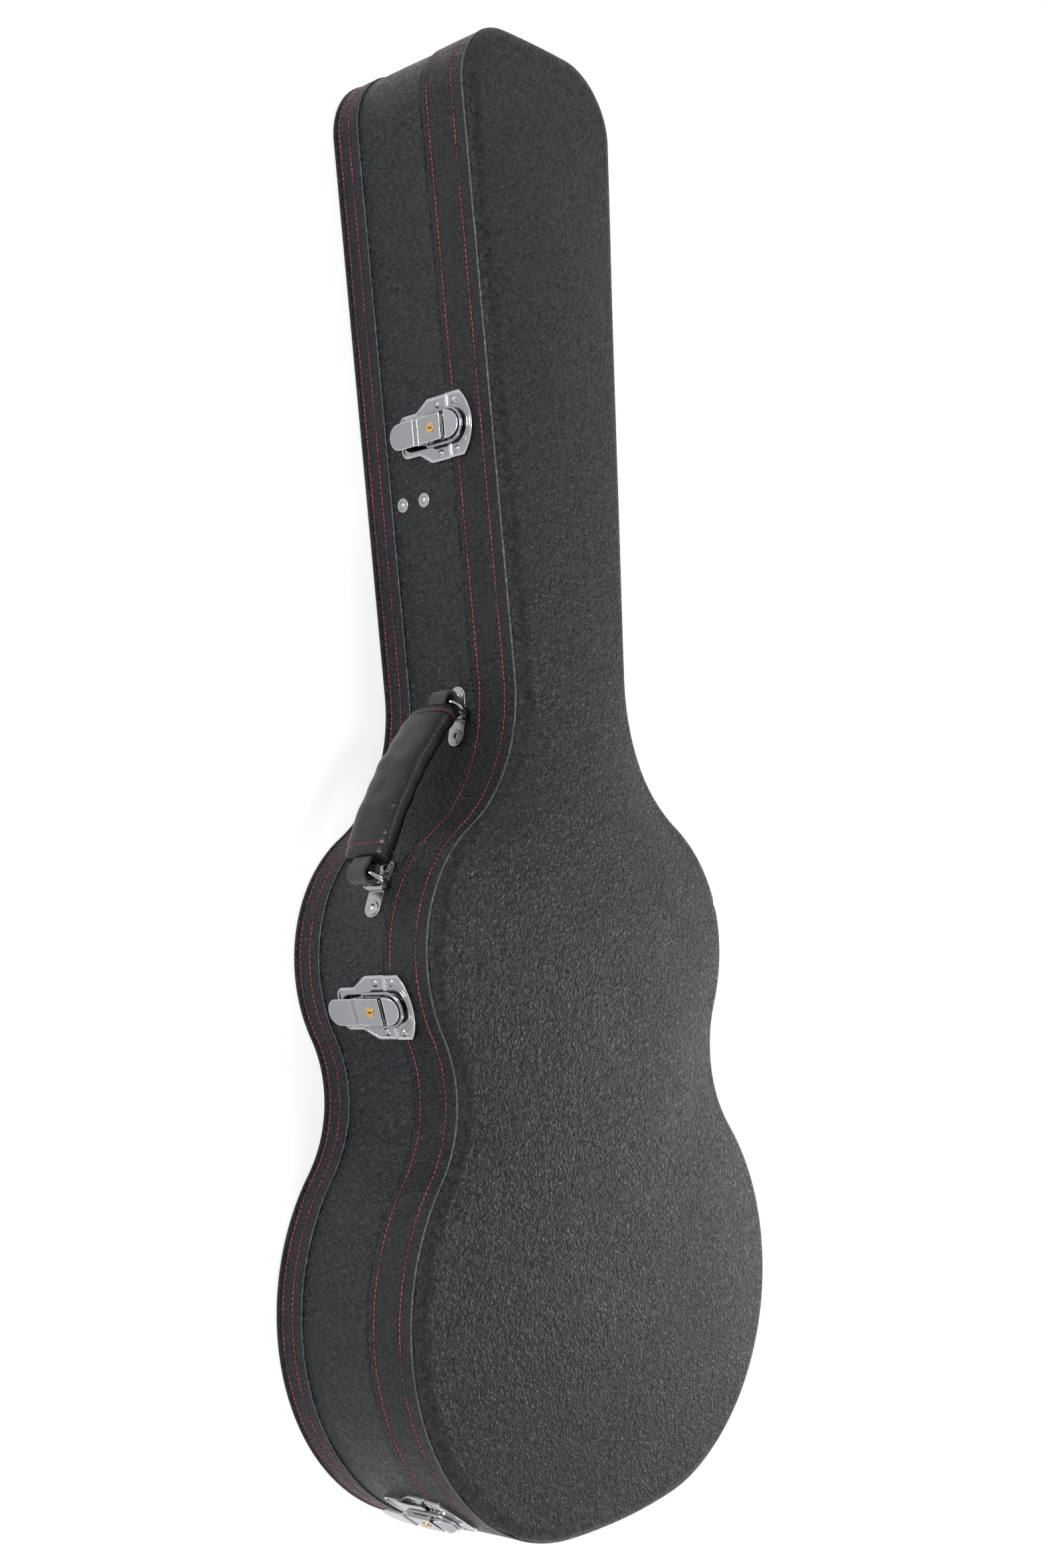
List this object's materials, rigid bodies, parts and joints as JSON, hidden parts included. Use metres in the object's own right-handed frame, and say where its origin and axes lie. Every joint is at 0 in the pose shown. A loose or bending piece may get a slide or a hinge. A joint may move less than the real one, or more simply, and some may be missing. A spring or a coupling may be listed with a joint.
{
  "type": "classical guitar case",
  "caption": "Hard guitar case with an arched hinged lid, draw-bolt latches with key locks, a padded handle on rings, a neck cradle and an accessory box.",
  "frame": {"origin": "on the bottom face, halfway along the case and on its middle line", "axes": "+Z is the lid side, +Y runs towards the head of the guitar, -X is the latch and handle side"},
  "size_m": [0.4132, 1.0635, 0.1486],
  "materials": {
    "vinyl": "fine pebble grain, satin",
    "vinyl_band": "fine pebble grain, satin",
    "plywood": "raw",
    "plush": "plush",
    "chrome": "polished",
    "nickel": "satin",
    "brass": "polished",
    "webbing": "woven",
    "grip_leather": "smooth, padded"
  },
  "bodies": {
    "body": {"accessory_box_wall": "plush", "back_band": "vinyl_band", "back_board": "plywood", "back_cover": "vinyl", "back_piping": "vinyl_band", "body_cover": "vinyl", "body_floor_lining": "plush", "body_rim": "plywood", "body_wall_lining": "plush", "cradle_screws": "nickel", "cradle_washers": "nickel", "handle_saddle_1": "nickel", "handle_saddle_2": "nickel", "hinge_body_leaf_1": "nickel", "hinge_body_leaf_2": "nickel", "hinge_body_rivets": "nickel", "hinge_pins": "nickel", "latch_base_1": "chrome", "latch_base_2": "chrome", "latch_base_3": "chrome", "latch_base_rivets": "chrome", "neck_cradle": "plush", "saddle_rivets": "nickel", "saddle_washers": "nickel"},
    "lid": {"hinge_lid_leaf_1": "nickel", "hinge_lid_leaf_2": "nickel", "hinge_lid_rivets": "nickel", "latch_catch_1": "chrome", "latch_catch_2": "chrome", "latch_catch_3": "chrome", "latch_catch_rivets": "chrome", "lid_band": "vinyl_band", "lid_board": "plywood", "lid_cover": "vinyl", "lid_edge_roll": "vinyl_band", "lid_rim": "plywood", "lid_top_lining": "plush", "lid_wall_lining": "plush"},
    "accessory_lid": {"accessory_lid": "plush", "accessory_tab": "webbing"},
    "ring_1": {"handle_ring_1": "chrome"},
    "ring_2": {"handle_ring_2": "chrome"},
    "grip": {"handle_grip": "grip_leather", "handle_webbing": "webbing"},
    "lever_1": {"latch_lever_1": "chrome"},
    "bail_1": {"latch_bail_1": "chrome"},
    "lock_1": {"latch_lock_1": "brass"},
    "lever_2": {"latch_lever_2": "chrome"},
    "bail_2": {"latch_bail_2": "chrome"},
    "lock_2": {"latch_lock_2": "brass"},
    "lever_3": {"latch_lever_3": "chrome"},
    "bail_3": {"latch_bail_3": "chrome"},
    "lock_3": {"latch_lock_3": "brass"}
  },
  "joints": [
    {"name": "lid_hinge", "type": "hinge", "parent": "body", "child": "lid", "pos_m": [0.20428, -0.34415, 0.088], "axis": [-0.1437, 0.9896, 0], "range_deg": [0, 105]},
    {"name": "lever_1_hinge", "type": "hinge", "parent": "body", "child": "lever_1", "pos_m": [-0.14278, -0.49861, 0.0845], "axis": [-0.7859, 0.6184, 0], "range_deg": [0, 110]},
    {"name": "bail_1_hinge", "type": "hinge", "parent": "lever_1", "child": "bail_1", "pos_m": [-0.14222, -0.4979, 0.0695], "axis": [-0.7859, 0.6184, 0], "range_deg": [-110, 0]},
    {"name": "lock_1_turn", "type": "hinge", "parent": "lever_1", "child": "lock_1", "pos_m": [-0.14222, -0.4979, 0.0775], "axis": [-0.6184, -0.7859, 0], "range_deg": [0, 90]},
    {"name": "lever_2_hinge", "type": "hinge", "parent": "body", "child": "lever_2", "pos_m": [-0.1674, -0.15194, 0.0845], "axis": [-0.2579, 0.9662, 0], "range_deg": [0, 110]},
    {"name": "bail_2_hinge", "type": "hinge", "parent": "lever_2", "child": "bail_2", "pos_m": [-0.16653, -0.15171, 0.0695], "axis": [-0.2579, 0.9662, 0], "range_deg": [-110, 0]},
    {"name": "lock_2_turn", "type": "hinge", "parent": "lever_2", "child": "lock_2", "pos_m": [-0.16653, -0.15171, 0.0775], "axis": [-0.9662, -0.2579, 0], "range_deg": [0, 90]},
    {"name": "lever_3_hinge", "type": "hinge", "parent": "body", "child": "lever_3", "pos_m": [-0.07468, 0.2527, 0.0845], "axis": [-0.0487, 0.9988, 0], "range_deg": [0, 110]},
    {"name": "bail_3_hinge", "type": "hinge", "parent": "lever_3", "child": "bail_3", "pos_m": [-0.07378, 0.25274, 0.0695], "axis": [-0.0487, 0.9988, 0], "range_deg": [-110, 0]},
    {"name": "lock_3_turn", "type": "hinge", "parent": "lever_3", "child": "lock_3", "pos_m": [-0.07378, 0.25274, 0.0775], "axis": [-0.9988, -0.0487, 0], "range_deg": [0, 90]},
    {"name": "ring_1_hinge", "type": "hinge", "parent": "body", "child": "ring_1", "pos_m": [-0.1528, -0.06928, 0.073], "axis": [0, 0, 1], "range_deg": [-18, 40]},
    {"name": "ring_2_hinge", "type": "hinge", "parent": "body", "child": "ring_2", "pos_m": [-0.06305, 0.04981, 0.073], "axis": [0, 0, 1], "range_deg": [-18, 40]},
    {"name": "grip_hinge", "type": "hinge", "parent": "ring_1", "child": "grip", "pos_m": [-0.16638, -0.05905, 0.073], "axis": [0, 0, 1], "range_deg": [-40, 18]},
    {"name": "accessory_lid_hinge", "type": "hinge", "parent": "body", "child": "accessory_lid", "pos_m": [0, 0.1947, 0.0483], "axis": [-1, 0, 0], "range_deg": [0, 90]}
  ],
  "couplings": [
    {"joint": "bail_1_hinge", "follows": "lever_1_hinge", "ratio": -1},
    {"joint": "bail_2_hinge", "follows": "lever_2_hinge", "ratio": -1},
    {"joint": "bail_3_hinge", "follows": "lever_3_hinge", "ratio": -1},
    {"joint": "ring_2_hinge", "follows": "ring_1_hinge", "ratio": 1},
    {"joint": "grip_hinge", "follows": "ring_1_hinge", "ratio": -1}
  ]
}
